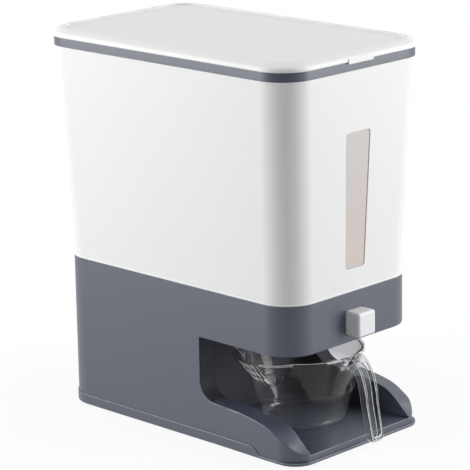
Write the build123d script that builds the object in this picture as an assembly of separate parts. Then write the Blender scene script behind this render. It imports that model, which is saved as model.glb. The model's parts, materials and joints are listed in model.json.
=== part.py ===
"""Rice dispenser: a tapered bin on a base with an open bay, a push-button gate and a measuring cup.

Millimetres, +Z up, front towards -Y. Everything is drawn around the bin's own centre line. The finished
pieces are then moved together along Y, so that the origin is the middle of the whole object on the floor.
Each piece is a solid of its own and is written to parts/NAME.step.
"""
from build123d import *
import math
import os

# ---------------------------------------------------------------- driving dimensions
# bin and base outline (half widths X, half depths Y)
floor_half_x = 89.0          # base and lower edge of the bin
floor_half_y = 154.8
bin_flare_x = 9.5            # the bin's mouth and collar are this much bigger, each side
bin_flare_y = 8.1
corner_radius = 32.6         # upright corners of base and bin
bay_height = 93.6            # tray to the lower edge of the front band
band_height = 48.8           # front band, up to the joint between base and bin
bin_height = 210.9           # from that joint to the collar
collar_height = 8.6
bin_wall = 3.0
base_wall = 2.8
skirt_wall = 2.6             # bin's skirt inside the base
skirt_depth = 6.0
lip_out = 0.4                # fine lips round the bin's lower and upper edges
lip_height = 1.4

# clearances
seat_gap = 0.2               # pieces that plug together within one body
moving_gap = 0.3             # pieces that move against each other
running_gap = 0.05           # radial, shaft in its bearing
thread_gap = 0.02            # radial, screw or pressed pin in its hole
hole_floor = 0.6             # left at the end of a blind screw hole
tip_gap = 0.3                # from there to the screw's tip
cut_past = 1.0               # cuts run this far past the faces that they open
same_place = 0.1             # edges and corners this near to a plane lie on it

# lid
lid_overhang = 1.0           # lid is this much wider than the collar, each side
lid_height = 8.2             # edge of the lid
lid_wall = 2.2
lid_roll_in = 8.0            # the lid's edge rolls over from its side to its top within this width
lid_roll_drop = 4.5          # and this height
lid_low_round = 5.0          # the roll's lower and upper bends
lid_high_round = 12.0
lid_hollow_step = 1.0        # the hollow inside the roll is this much lower
panel_border = 12.5          # raised border round the lid's recessed panel
panel_depth = 1.8
panel_round = 0.8
tongue_width = 34.0
tongue_drop = 1.9            # how far the finger tongue dips below the lid's edge
tongue_thick = 1.6
tongue_root = 3.0            # height of the tongue on the lid's edge
tongue_round = 1.5
plug_clear = 1.5             # lid plug inside the mouth
plug_depth = 4.5             # below the collar's top
plug_wall = 2.0
liner_plate = 2.0

# collar
collar_band = 1.3            # wall round the bin's spigot
collar_flange = 2.2
mouth_flange_in = 7.5        # flange reaches this far in from the collar's outside
spigot_height = 6.0
seal_width = 2.4
seal_inset = 0.8             # seal outside the flange's inner edge

# lid hinge
knuckle_radius = 4.0
knuckle_drop = 0.5           # knuckles end below the collar's top
knuckle_length = 14.0
ear_length = 5.0
ear_gap = 0.4
pin_radius = 1.5
hinge_station_in = 14.0      # knuckles' middles inside the straight of the collar's back

# level window
window_rise = 22.0           # above the joint with the base
window_height = 131.0
window_top_width = 34.0
window_bottom_width = 26.5
window_corner = 3.5
window_recess = 0.8
gasket_thick = 0.8
gasket_lap = 5.0             # gasket and pane flange reach this far past the hole
flange_thick = 1.2

# base
foot_height = 1.2            # base edge above the floor
tray_out = 7.9               # the tray reaches this far ahead of the band
tray_top_z = 9.6
cutout_length = 125.2        # side cut-outs, from the tray's front
cutout_rear_radius = 20.0
arm_rear_rise = 33.2         # arm tops above the tray, where they leave the rear curve
arm_width = 19.0
tray_thick = 2.4
tray_corner = 25.5           # plan corners of the tray and arms
tray_flare = 1.0             # their sides stand this far outside the base's
tray_block_over = 3.2        # the flared part ends above the arms
tray_straight = 42.7         # the sides have that flare from the tray's front to here
tray_length = 102.7          # and lose it by here
lip_setback = 0.8            # the tray's front face between the arms' noses
arm_hollow_in = 50.7         # the arms are hollow from here back
arm_hollow_drop = 10.8       # and up to this far below their tops
arm_edge_round = 1.0
bay_back_gap = 7.5           # bay's back wall behind the cup's rim
deck_thick = 3.0
deck_hole_gap = 1.0          # round the outlet
plinth_height = 11.0
plinth_out = 1.0
plinth_end_in = 62.0         # the plinth's top starts to curve down here, behind the tray's front
plinth_end_radius = 17.0
toe_out = 1.2                # low toe that goes on from the plinth round the front
toe_height = 2.6
toe_corner = 22.0

# hopper, gate and outlet
throat_x_size = 44.0
throat_y_size = 12.0
port_lap = 1.0               # shutter's solid strip between its port and the throat at rest
travel = 13.0                # button and shutter stroke
hopper_wall = 2.5
throat_height = 14.0
throat_seal_height = 2.2
hopper_front_rise = 12.0     # above the seam, where the floor meets the bin's front wall
hopper_rear_rise = 95.0      # and its rear wall
carrier_thick = 2.5
carrier_flank = 9.7          # carrier plate past the gate cover, each side
carrier_front_margin = 8.0   # carrier plate in front of the rod bearing's middle
carrier_screw_in = 9.0       # screws from the plate's front and rear edges
shutter_side_lap = 5.0       # shutter past the port, each side
shutter_thick = 3.0
shutter_front_margin = 13.0  # shutter plate in front of its port
rail_width = 4.0
rail_setback = 2.0           # rails start this far behind the shutter's front
cover_flank = 9.0            # gate cover past the rails, each side
cover_screw_in = 4.0
cover_thick = 2.5
cover_front_border = 5.0     # gate cover past the throat
cover_rear_border = 10.0
chute_drop = 9.2             # nozzle below the deck
chute_wall = 2.0
chute_border = 9.0           # flange under the deck, past its hole
chute_flange_thick = 2.0
chute_corner = 4.0
chute_screw_in = 4.0

# button
button_x_size = 23.4
button_z_size = 23.4
button_out = 16.2            # the button stands this far out of the band
button_clear = 0.5           # its stop flange above the carrier plate
button_round = 2.4
button_gap = 0.5             # round the cap in the band's opening
button_wall = 2.0
button_flange = 1.8          # stop flange is this much bigger, each side
rod_radius = 4.0
socket_depth = 8.0           # the rod's end in the cap
rod_screw_radius = 1.5
rod_screw_bite = 8.0         # in the rod's end
upstand_thick = 4.0
upstand_half_x = 10.0
upstand_above_rod = 6.25
bearing_gap = 6.0            # between the rod bearing and the shutter's upstand
bearing_thick = 8.0
bearing_wall = 4.5           # beside and above the rod
bearing_foot = 8.0           # its two feet
bearing_foot_thick = 3.0

# return spring
spring_above_shutter = 6.0
spring_radius = 4.4
spring_wire = 0.45
spring_turns = 9
spring_pin_radius = 2.0
spring_upstand_thick = 3.0
spring_upstand_half_x = 8.0
spring_upstand_gap = 6.0     # behind the gate cover
spring_upstand_above = 7.0   # upstand and bracket above the spring's axis
spring_closed = 22.0         # room left for the spring when the button is pressed
bracket_thick = 4.0
bracket_half_x = 12.0
spring_pin_reach = 6.0       # pin in front of the spring's upstand

# measuring cup
cup_setback = 74.7           # cup's axis behind the tray's front
cup_clear = 9.4              # rim below the nozzle
cup_rim_radius = 58.5
cup_step_rise = 33.1         # step in the cup's side, above its bottom
cup_step = 1.6
cup_step_height = 0.8
cup_step_radius = 48.0
cup_foot_radius = 42.5
cup_bottom_round = 11.0
cup_wall = 2.0
cup_lip = 1.2
cup_lip_height = 2.4
spout_angle = 172.0          # direction of the strainer spout, degrees from +X
spout_radius = 42.0
spout_reach = 31.0           # centre of the spout's rim circle from the cup's axis
spout_depth = 28.6           # below the rim
spout_low_radius = 31.0
spout_inward = 11.0          # its lower end is this much nearer to the cup's axis
slot_rows = 3
slot_columns = 6
slot_width = 1.6
slot_length = 6.0
slot_pitch_z = 8.0
slot_pitch_angle = 9.0
slot_first_rise = 6.5        # first row above the spout's lower end
slot_lean = 24.0
slot_cut = 14.0
handle_top_half_x = 9.6
handle_low_half_x = 8.0
handle_rib = 2.4
handle_out = 37.1            # the handle's reach in front of the rim
handle_drop = 76.0           # and below it
handle_root_in = 2.5         # its root inside the rim
handle_root_height = 9.0
handle_tip_radius = 6.2      # its lower corners, seen from the front

# fasteners and feet
screw_radius = 1.5
screw_head_radius = 2.8
screw_head_height = 1.6
boss_radius = 5.0
boss_merge = 0.8             # bosses run this far into the wall
boss_roof = 2.0
boss_front_in = 57.7         # front bosses behind the tray's front
boss_middle_y = 20.0
boss_rear_x = 40.0
cover_plate = 3.0            # bottom cover
cover_lift = 0.6             # above the base's lower edge
foot_radius = 8.0
foot_recess = 1.2
foot_round = 0.6
foot_in_x = 34.0             # feet from the base's sides
foot_in_y = 32.8
bottom_screw_bite = 11.6
bottom_screw_room = 1.6      # hole past the screw's tip

# ---------------------------------------------------------------- places that follow from them
inner_x = floor_half_x - base_wall
inner_y = floor_half_y - base_wall
mouth_half_x = floor_half_x + bin_flare_x
mouth_half_y = floor_half_y + bin_flare_y

band_bottom_z = tray_top_z + bay_height
seam_z = band_bottom_z + band_height
collar_z = seam_z + bin_height
collar_top_z = collar_z + collar_height
lid_low_z = collar_top_z + moving_gap
lid_top_z = lid_low_z + lid_height
lid_roof_z = lid_top_z - panel_depth - lid_wall
hinge_station_x = mouth_half_x - corner_radius - hinge_station_in
hinge_y = mouth_half_y + moving_gap + knuckle_radius
hinge_z = collar_top_z - knuckle_drop - knuckle_radius
window_bottom_z = seam_z + window_rise
window_top_z = window_bottom_z + window_height

tray_front_y = -floor_half_y - tray_out
cutout_rear_y = tray_front_y + cutout_length
plinth_end_y = tray_front_y + plinth_end_in
toe_top_z = foot_height + toe_height
arm_hollow_front_y = tray_front_y + arm_hollow_in
arm_rear_z = tray_top_z + arm_rear_rise
bay_half_x = floor_half_x - arm_width
cup_y = tray_front_y + cup_setback
bay_back_y = cup_y + cup_rim_radius + bay_back_gap
bottom_cover_z = foot_height + cover_lift
bottom_cover_top_z = bottom_cover_z + cover_plate

deck_top_z = band_bottom_z + deck_thick
carrier_top_z = deck_top_z + carrier_thick
shutter_z = carrier_top_z + moving_gap
shutter_top_z = shutter_z + shutter_thick
cover_z = shutter_top_z + moving_gap
cover_top_z = cover_z + cover_thick
throat_bottom_z = cover_top_z + throat_seal_height
throat_top_z = throat_bottom_z + throat_height
hopper_front_z = seam_z + hopper_front_rise
hopper_rear_z = seam_z + hopper_rear_rise
button_centre_z = carrier_top_z + button_clear + button_flange + button_z_size / 2
upstand_top_z = button_centre_z + upstand_above_rod
spring_z = shutter_top_z + spring_above_shutter
spring_top_z = spring_z + spring_upstand_above

shutter_half_x = throat_x_size / 2 + shutter_side_lap
rail_in_x = shutter_half_x + moving_gap
rail_out_x = rail_in_x + rail_width
cover_half_x = rail_out_x + cover_flank
carrier_half_x = cover_half_x + carrier_flank
bearing_half_x = rod_radius + bearing_wall

throat_y = cup_y
throat_front_y = throat_y - throat_y_size / 2
throat_rear_y = throat_y + throat_y_size / 2
port_y = throat_y - travel
shutter_front_y = port_y - throat_y_size / 2 - shutter_front_margin
cover_rear_y = throat_rear_y + cover_rear_border
shutter_rear_y = cover_rear_y + spring_upstand_gap + spring_upstand_thick
carrier_rear_y = shutter_rear_y + travel + spring_closed + bracket_thick
spring_pin_front_y = shutter_rear_y - spring_upstand_thick - spring_pin_reach
bearing_y = shutter_front_y - bearing_gap - bearing_thick / 2
carrier_front_y = bearing_y - carrier_front_margin
button_front_y = -floor_half_y - button_out
cap_stop_y = -inner_y + moving_gap
cap_back_y = cap_stop_y + button_wall

chute_bottom_z = band_bottom_z - chute_drop
chute_flange_z = band_bottom_z - chute_flange_thick
deck_hole_half_x = throat_x_size / 2 + chute_wall + deck_hole_gap
deck_hole_half_y = throat_y_size / 2 + chute_wall + deck_hole_gap
chute_half_x = deck_hole_half_x + chute_border
chute_half_y = deck_hole_half_y + chute_border

cup_bottom_z = tray_top_z + moving_gap
cup_rim_z = chute_bottom_z - cup_clear
cup_step_z = cup_bottom_z + cup_step_rise
spout_low_z = cup_rim_z - spout_depth
spout_low_reach = spout_reach - spout_inward


# ---------------------------------------------------------------- helpers
def plan(half_x, half_y, radius, z, y=0.0):
    """Rounded rectangle, flat at height z, centred on x = 0."""
    return Pos(0, y, z) * RectangleRounded(2 * half_x, 2 * half_y, radius)


def slab(half_x, half_y, radius, low_z, high_z, y=0.0):
    """Upright block with rounded corners."""
    return extrude(plan(half_x, half_y, radius, low_z, y), high_z - low_z)


def block(x0, x1, y0, y1, z0, z1):
    """Box between two corners."""
    return Pos((x0 + x1) / 2, (y0 + y1) / 2, (z0 + z1) / 2) * Box(x1 - x0, y1 - y0, z1 - z0)


def rod_z(x, y, z0, z1, radius):
    """Upright cylinder between two heights, in either order."""
    return Pos(x, y, (z0 + z1) / 2) * Cylinder(radius, abs(z1 - z0))


def rod_y(x, z, low_y, high_y, radius):
    return Pos(x, (low_y + high_y) / 2, z) * Rot(90, 0, 0) * Cylinder(radius, high_y - low_y)


def rod_x(y, z, low_x, high_x, radius):
    return Pos((low_x + high_x) / 2, y, z) * Rot(0, 90, 0) * Cylinder(radius, high_x - low_x)


def bin_share(z):
    """0 at the seam, 1 at the collar."""
    return (z - seam_z) / (collar_z - seam_z)


def bin_half_x(z):
    return floor_half_x + (mouth_half_x - floor_half_x) * bin_share(z)


def bin_half_y(z):
    return floor_half_y + (mouth_half_y - floor_half_y) * bin_share(z)


def bin_form(inset, low_z, high_z):
    """Tapered body of the bin between two heights, with its sides moved in by inset."""
    low = plan(bin_half_x(low_z) - inset, bin_half_y(low_z) - inset, corner_radius - inset, low_z)
    high = plan(bin_half_x(high_z) - inset, bin_half_y(high_z) - inset, corner_radius - inset, high_z)
    return loft([low, high])


def mirrored(shape):
    """The shape and its copy on the other side of x = 0."""
    return [shape, mirror(shape, Plane.YZ)]


def pan_screws(points, seat_z, tip_z):
    """Screws with their heads standing on seat_z and their shanks running to tip_z, up or down."""
    head_z = seat_z + math.copysign(screw_head_height, seat_z - tip_z)
    screws = []
    for x, y in points:
        head = rod_z(x, y, seat_z, head_z, screw_head_radius)
        screws.append(head + rod_z(x, y, seat_z, tip_z, screw_radius))
    return screws


def throat_block(low_z, high_z, grow=0.0, y=None):
    """The rice port's rectangle as a block, grown on every side."""
    middle = throat_y if y is None else y
    half_x = throat_x_size / 2 + grow
    half_y = throat_y_size / 2 + grow
    return block(-half_x, half_x, middle - half_y, middle + half_y, low_z, high_z)


# ---------------------------------------------------------------- bin
def window_plane():
    """Plane on the bin's sloping front face, its origin at the window's middle, its normal outwards."""
    middle_z = (window_top_z + window_bottom_z) / 2
    lean = math.atan((mouth_half_y - floor_half_y) / (collar_z - seam_z))
    outward = (0, -math.cos(lean), -math.sin(lean))
    return Plane(origin=(0, -bin_half_y(middle_z), middle_z), x_dir=(1, 0, 0), z_dir=outward)


def window_outline(grow):
    """The window's trapezium, grown by an amount on every side."""
    half_height = (window_top_z - window_bottom_z) / 2 + grow
    top = window_top_width / 2 + grow
    bottom = window_bottom_width / 2 + grow
    # the plane's own y points down the face, so the wide end has negative y
    corners = [(-top, half_height), (top, half_height), (bottom, -half_height), (-bottom, -half_height)]
    face = make_face(Polyline(corners, close=True))
    return fillet(face.vertices(), window_corner + max(grow, 0))


def window_slice(grow, depth_from, depth_to):
    """Solid of the window's outline between two depths behind the front face."""
    front = window_plane().offset(-depth_from)
    return extrude(front * window_outline(grow), -(depth_to - depth_from))


def make_bin_shell():
    outer = bin_form(0, seam_z, collar_z)
    inner = bin_form(bin_wall, seam_z, collar_z)
    wall = outer + bin_form(-lip_out, seam_z, seam_z + lip_height)
    wall += bin_form(-lip_out, collar_z - lip_height, collar_z)
    wall -= inner
    spigot_x = mouth_half_x - collar_band - seat_gap
    spigot_y = mouth_half_y - collar_band - seat_gap
    spigot_r = corner_radius - collar_band - seat_gap
    spigot = slab(spigot_x, spigot_y, spigot_r, collar_z - bin_wall, collar_z + spigot_height)
    spigot -= slab(
        mouth_half_x - bin_wall, mouth_half_y - bin_wall, corner_radius - bin_wall,
        collar_z - bin_wall, collar_z + spigot_height,
    )
    # keep the spigot's root inside the tapered wall
    spigot -= inner
    # skirt that plugs into the base, on a ledge inside the wall's lower edge
    skirt_out = base_wall + seat_gap
    skirt_in = skirt_out + skirt_wall
    skirt = slab(
        floor_half_x - skirt_out, floor_half_y - skirt_out, corner_radius - skirt_out,
        seam_z - skirt_depth, seam_z,
    )
    skirt += bin_form(bin_wall / 2, seam_z, seam_z + bin_wall)
    skirt -= slab(
        floor_half_x - skirt_in, floor_half_y - skirt_in, corner_radius - skirt_in,
        seam_z - skirt_depth, seam_z + bin_wall,
    )
    shell = wall + spigot + skirt
    shell -= window_slice(0, -cut_past, bin_wall + cut_past)
    return shell


def make_window_pane():
    pane = window_slice(-seat_gap, window_recess, bin_wall + gasket_thick)
    flange_start = bin_wall + gasket_thick
    pane += window_slice(gasket_lap, flange_start, flange_start + flange_thick)
    return pane


def make_window_gasket():
    ring = window_slice(gasket_lap, bin_wall, bin_wall + gasket_thick)
    return ring - window_slice(0, bin_wall, bin_wall + gasket_thick)


# ---------------------------------------------------------------- collar, lid and hinge
def collar_opening(low_z, high_z, grow=0.0):
    inset = mouth_flange_in - grow
    return slab(mouth_half_x - inset, mouth_half_y - inset, corner_radius - inset, low_z, high_z)


def hinge_body(low_x, high_x, root_y, root_low_z, root_high_z):
    """Round knuckle on the pin axis with a web that runs forward to root_y."""
    knuckle = rod_x(hinge_y, hinge_z, low_x, high_x, knuckle_radius)
    web = block(low_x, high_x, root_y, hinge_y, root_low_z, root_high_z)
    return knuckle + web


def make_mouth_collar():
    collar = slab(mouth_half_x, mouth_half_y, corner_radius, collar_z, collar_top_z)
    band = slab(
        mouth_half_x - collar_band, mouth_half_y - collar_band, corner_radius - collar_band,
        collar_z, collar_top_z - collar_flange,
    )
    collar -= band
    collar -= collar_opening(collar_z, collar_top_z)
    web_high_z = hinge_z + knuckle_radius * 0.4
    web_low_z = hinge_z - knuckle_radius
    root_y = mouth_half_y - collar_band / 2
    for side in (-1, 1):
        for end in (-1, 1):
            inner_end = side * hinge_station_x + end * (knuckle_length / 2 + ear_gap)
            outer_end = inner_end + end * ear_length
            low_x, high_x = sorted((inner_end, outer_end))
            collar += hinge_body(low_x, high_x, root_y, web_low_z, web_high_z)
    collar -= rod_x(hinge_y, hinge_z, -mouth_half_x, mouth_half_x, pin_radius + thread_gap)
    return collar


def make_hinge_pins():
    half = knuckle_length / 2 + ear_gap + ear_length
    pins = []
    for side in (-1, 1):
        centre = side * hinge_station_x
        pins.append(rod_x(hinge_y, hinge_z, centre - half, centre + half, pin_radius))
    return pins


def lid_form(inset, low_z, high_z, roll_in, roll_drop):
    """Block with the lid's outline, moved in by inset, whose top edge is cut off at a slant."""
    half_x = mouth_half_x + lid_overhang - inset
    half_y = mouth_half_y + lid_overhang - inset
    form = slab(half_x, half_y, corner_radius + lid_overhang - inset, low_z, high_z)
    top = form.faces().sort_by(Axis.Z)[-1]
    return chamfer(top.outer_wire().edges(), roll_in, roll_drop, reference=top)


def lid_hollow(inset):
    """The space under the lid's wall, moved in by inset."""
    drop = lid_roll_drop - lid_hollow_step
    return lid_form(lid_wall + inset, lid_low_z, lid_roof_z, lid_roll_in * drop / lid_roll_drop, drop)


def make_lid_shell():
    half_x = mouth_half_x + lid_overhang
    half_y = mouth_half_y + lid_overhang
    radius = corner_radius + lid_overhang
    lid = lid_form(0, lid_low_z, lid_top_z, lid_roll_in, lid_roll_drop)
    top = lid.faces().sort_by(Axis.Z)[-1]
    lid = fillet(top.outer_wire().edges(), lid_high_round)
    bend_z = lid_top_z - lid_roll_drop
    bend = [edge for edge in lid.edges() if abs(edge.center().Z - bend_z) < same_place]
    lid = fillet(bend, lid_low_round)
    panel = slab(
        half_x - panel_border, half_y - panel_border, radius - panel_border,
        lid_top_z - panel_depth, lid_top_z,
    )
    lid -= panel
    rim = lid.faces().filter_by(Plane.XY).sort_by(Axis.Z)[-1]
    lid = fillet(rim.inner_wires()[0].edges(), panel_round)
    lid -= lid_hollow(0)
    # finger tongue over the collar's front
    tongue_back_y = -mouth_half_y - moving_gap
    tongue = block(
        -tongue_width / 2, tongue_width / 2, tongue_back_y - tongue_thick, tongue_back_y,
        lid_low_z - tongue_drop, lid_low_z + tongue_root,
    )
    tongue = fillet(tongue.edges().filter_by(Axis.Y), tongue_round)
    lid += tongue
    # hinge knuckles with webs that rise to the lid's back edge
    web_root_y = mouth_half_y + moving_gap
    for side in (-1, 1):
        centre = side * hinge_station_x
        low_x = centre - knuckle_length / 2
        high_x = centre + knuckle_length / 2
        lid += hinge_body(low_x, high_x, web_root_y, hinge_z, lid_roof_z)
        lid += block(low_x, high_x, web_root_y, hinge_y + knuckle_radius, hinge_z, lid_roof_z)
        lid -= rod_x(hinge_y, hinge_z, low_x - cut_past, high_x + cut_past, pin_radius + running_gap)
    return lid


def make_lid_liner():
    plate_z = lid_roof_z - liner_plate
    plate = lid_hollow(seat_gap) & block(
        -mouth_half_x, mouth_half_x, -mouth_half_y, mouth_half_y, plate_z, lid_roof_z,
    )
    inset = mouth_flange_in + plug_clear
    plug_x = mouth_half_x - inset
    plug_y = mouth_half_y - inset
    plug_r = corner_radius - inset
    plug_low_z = collar_top_z - plug_depth
    plug = slab(plug_x, plug_y, plug_r, plug_low_z, plate_z)
    plug -= slab(plug_x - plug_wall, plug_y - plug_wall, plug_r - plug_wall, plug_low_z, plate_z)
    return plate + plug


def make_lid_seal():
    inner_in = mouth_flange_in - seal_inset
    outer_in = inner_in - seal_width
    high_z = lid_roof_z - liner_plate
    rings = []
    for inset in (outer_in, inner_in):
        rings.append(slab(
            mouth_half_x - inset, mouth_half_y - inset, corner_radius - inset, lid_low_z, high_z,
        ))
    return rings[0] - rings[1]


# ---------------------------------------------------------------- base
def side_profile(half_x, knee_z, curve):
    """Closed outline, in the plane x = half_x, of what the side cut-out takes away.

    knee_z is the arm's height at the rear curve, and curve holds the (y, z) points from there down to
    the tray's front.
    """
    top_z = band_bottom_z
    start = (half_x, cutout_rear_y, top_z)
    arc_start = (half_x, cutout_rear_y, knee_z + cutout_rear_radius)
    arc_end = (half_x, cutout_rear_y - cutout_rear_radius, knee_z)
    bulge = cutout_rear_radius * (1 - math.cos(math.radians(45)))
    arc_mid = (half_x, cutout_rear_y - bulge, knee_z + bulge)
    points = [(half_x, y, z) for y, z in curve]
    end_y = points[-1][1]
    return Wire([
        Line(start, arc_start),
        ThreePointArc(arc_start, arc_mid, arc_end),
        Line(arc_end, points[0]),
        Spline(*points),
        Line(points[-1], (half_x, end_y, top_z)),
        Line((half_x, end_y, top_z), start),
    ])


# arm tops: height along the inner edge, and at a plane just outside the base, for the same y
arm_curve_in = (74.7, 51.1, 33.7, 22.0, 12.4, 5.7, -3.3)       # behind the tray's front
arm_inner_rise = (31.6, 28.4, 25.4, 19.7, 11.5, 5.5, 0.0)      # above the tray
arm_outer_rise = (30.1, 26.5, 20.8, 14.1, 8.7, 0.7, -1.6)
arm_plane_out = 6.0          # that plane, outside the base
arm_outer_drop = 1.8         # the same slope, at the rear curve


def arm_curve(rises):
    return [(tray_front_y + y_in, tray_top_z + rise) for y_in, rise in zip(arm_curve_in, rises)]


def side_cut():
    """The space between tray, arms and band, open at the front and at both sides."""
    inner = side_profile(bay_half_x, arm_rear_z, arm_curve(arm_inner_rise))
    outer_x = floor_half_x + arm_plane_out
    outer = side_profile(outer_x, arm_rear_z - arm_outer_drop, arm_curve(arm_outer_rise))
    wing = Solid.make_loft([inner, outer], ruled=True)
    return mirrored(wing)


def tray_plan(flare, root_flare, radius, front_y):
    """Plan of the base's front part: wider than the base in front, and back to its width by its root."""
    half_x = floor_half_x + flare
    root_x = floor_half_x + root_flare
    straight_y = tray_front_y + tray_straight
    root_y = tray_front_y + tray_length
    points = [
        (-root_x, root_y), (-half_x, straight_y), (-half_x, front_y),
        (half_x, front_y), (half_x, straight_y), (root_x, root_y),
    ]
    face = make_face(Polyline([*points, points[0]]))
    corners = [vertex for vertex in face.vertices() if abs(vertex.Y - front_y) < same_place]
    return Pos(0, 0, foot_height) * fillet(corners, radius)


def tray_block():
    """Tray and arms as one block. The face between the arms' noses stands back a little."""
    form = tray_plan(tray_flare, 0, tray_corner, tray_front_y)
    whole = extrude(form, arm_rear_z + tray_block_over - foot_height)
    reach = floor_half_x + tray_flare
    front = block(
        -reach, reach, tray_front_y - cut_past, tray_front_y + lip_setback, foot_height,
        arm_rear_z + tray_block_over,
    )
    return whole - front


def plinth():
    """Skirting that stands proud round the back and sides, curves down in front and goes on as a low toe."""
    ring = slab(
        floor_half_x + plinth_out, floor_half_y + plinth_out, corner_radius + plinth_out,
        foot_height, plinth_height,
    )
    toe = tray_plan(tray_flare + toe_out, plinth_out, toe_corner, tray_front_y - toe_out)
    ring += extrude(toe, plinth_height - foot_height)
    reach_x = floor_half_x + tray_flare + toe_out
    rear_y = floor_half_y + plinth_out
    kept = block(-reach_x, reach_x, plinth_end_y, rear_y, foot_height, plinth_height)
    curve_z = plinth_height - plinth_end_radius
    kept += rod_x(plinth_end_y, curve_z, -reach_x, reach_x, plinth_end_radius)
    kept += block(-reach_x, reach_x, tray_front_y - toe_out, plinth_end_y, foot_height, toe_top_z)
    return ring & kept


def bottom_boss_points():
    side_x = inner_x - boss_radius + boss_merge
    rear_y = inner_y - boss_radius + boss_merge
    points = []
    for x, y in ((side_x, tray_front_y + boss_front_in), (side_x, boss_middle_y), (boss_rear_x, rear_y)):
        points.append((x, y))
        points.append((-x, y))
    return points


def make_base_housing():
    wall_r = corner_radius - base_wall
    body = slab(floor_half_x, floor_half_y, corner_radius, foot_height, seam_z)
    body += tray_block()
    body += plinth()
    # hollow upper compartment, above the deck
    body -= slab(inner_x, inner_y, wall_r, deck_top_z, seam_z)
    # hollow rear compartment, behind the bay
    rear = slab(inner_x, inner_y, wall_r, foot_height, deck_top_z)
    rear_front_y = bay_back_y + base_wall
    rear &= block(-inner_x, inner_x, rear_front_y, inner_y, foot_height, deck_top_z)
    body -= rear
    # open bay: centre part, then the side wings over the arms
    body -= block(
        -bay_half_x, bay_half_x, tray_front_y - cut_past, bay_back_y, tray_top_z, band_bottom_z,
    )
    for wing in side_cut():
        body -= wing
    body = fillet(arm_outer_edges(body), arm_edge_round)
    # hollow under the tray and inside the arms
    for hollow in tray_hollow():
        body -= hollow
    # bosses for the bottom cover
    hole_top_z = bottom_cover_top_z + bottom_screw_bite + bottom_screw_room
    for x, y in bottom_boss_points():
        body += rod_z(x, y, bottom_cover_top_z, hole_top_z + boss_roof, boss_radius)
        body -= rod_z(x, y, foot_height, hole_top_z, screw_radius + thread_gap)
    # deck aperture for the outlet, band opening for the button, screw holes in the deck
    body -= block(
        -deck_hole_half_x, deck_hole_half_x, throat_y - deck_hole_half_y, throat_y + deck_hole_half_y,
        band_bottom_z, deck_top_z,
    )
    opening_half_x = button_x_size / 2 + button_gap
    opening_half_z = button_z_size / 2 + button_gap
    body -= block(
        -opening_half_x, opening_half_x, -floor_half_y - cut_past, -inner_y + cut_past,
        button_centre_z - opening_half_z, button_centre_z + opening_half_z,
    )
    for x, y in carrier_screw_points():
        body -= rod_z(x, y, band_bottom_z + hole_floor, deck_top_z, screw_radius + thread_gap)
    for x, y in chute_screw_points():
        body -= rod_z(x, y, band_bottom_z, deck_top_z - hole_floor, screw_radius + thread_gap)
    return body


def arm_outer_edges(body):
    """Outer edges of the arm tops, of the cut-outs' rear ends and of the band's lower side."""
    found = []
    for edge in body.edges():
        box = edge.bounding_box()
        middle = edge @ 0.5
        if middle.Z < plinth_height + cut_past or box.max.Z > band_bottom_z + same_place:
            continue
        at_rear = abs(middle.Y - cutout_rear_y) < same_place
        upright = box.max.Z - box.min.Z > 0.95 * edge.length
        under_band = box.min.Z > band_bottom_z - same_place
        outside = min(abs(box.min.X), abs(box.max.X)) > bay_half_x + cut_past
        in_front = box.max.Y < -floor_half_y + corner_radius + same_place
        if under_band and (outside or in_front) and not at_rear:
            found.append(edge)
        elif outside and not under_band and (at_rear or not upright):
            found.append(edge)
    return found


def tray_hollow():
    """Space below the tray floor and within the two arms, open downwards."""
    wall_r = corner_radius - base_wall
    bay_outer_x = bay_half_x + base_wall
    behind_y = bay_back_y + base_wall
    plan_low = slab(inner_x, inner_y, wall_r, foot_height, band_bottom_z)
    under = block(-bay_outer_x, bay_outer_x, -inner_y, behind_y, foot_height, tray_top_z - tray_thick)
    arm_roof_z = arm_rear_z - arm_hollow_drop
    arm = block(bay_outer_x, inner_x, arm_hollow_front_y, behind_y, foot_height, arm_roof_z)
    pocket = block(
        bay_outer_x, inner_x, cutout_rear_y + base_wall, behind_y, foot_height, band_bottom_z,
    )
    hollows = [under & plan_low]
    for piece in (arm, pocket):
        hollows.extend(mirrored(piece))
    return hollows


def cover_form(low_z, high_z, gap):
    """Bottom plate's outline: inside the base's wall, short of the tray's rounded front."""
    plate = slab(inner_x - gap, inner_y - gap, corner_radius - base_wall - gap, low_z, high_z)
    narrow_y = arm_hollow_front_y + gap
    front = block(-inner_x, inner_x, -inner_y, narrow_y, low_z, high_z)
    narrow = bay_half_x + base_wall - gap
    keep = block(-narrow, narrow, -inner_y, narrow_y, low_z, high_z)
    return plate - (front - keep)


def foot_points():
    x = floor_half_x - foot_in_x
    y = floor_half_y - foot_in_y
    return [(sx * x, sy * y) for sx in (-1, 1) for sy in (-1, 1)]


def make_bottom_cover():
    plate = cover_form(bottom_cover_z, bottom_cover_top_z, seat_gap)
    for x, y in foot_points():
        plate -= rod_z(x, y, bottom_cover_z, bottom_cover_z + foot_recess, foot_radius + seat_gap)
    for x, y in bottom_boss_points():
        plate -= rod_z(x, y, bottom_cover_z, bottom_cover_top_z, screw_radius + seat_gap)
        seat_z = bottom_cover_z + screw_head_height
        plate -= rod_z(x, y, bottom_cover_z, seat_z, screw_head_radius + seat_gap)
    return plate


def make_rubber_feet():
    feet = []
    for x, y in foot_points():
        foot = rod_z(x, y, 0.0, bottom_cover_z + foot_recess, foot_radius)
        feet.append(fillet(foot.edges().sort_by(Axis.Z)[0], foot_round))
    return feet


def make_bottom_screws():
    seat_z = bottom_cover_z + screw_head_height
    return pan_screws(bottom_boss_points(), seat_z, bottom_cover_top_z + bottom_screw_bite)


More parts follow.
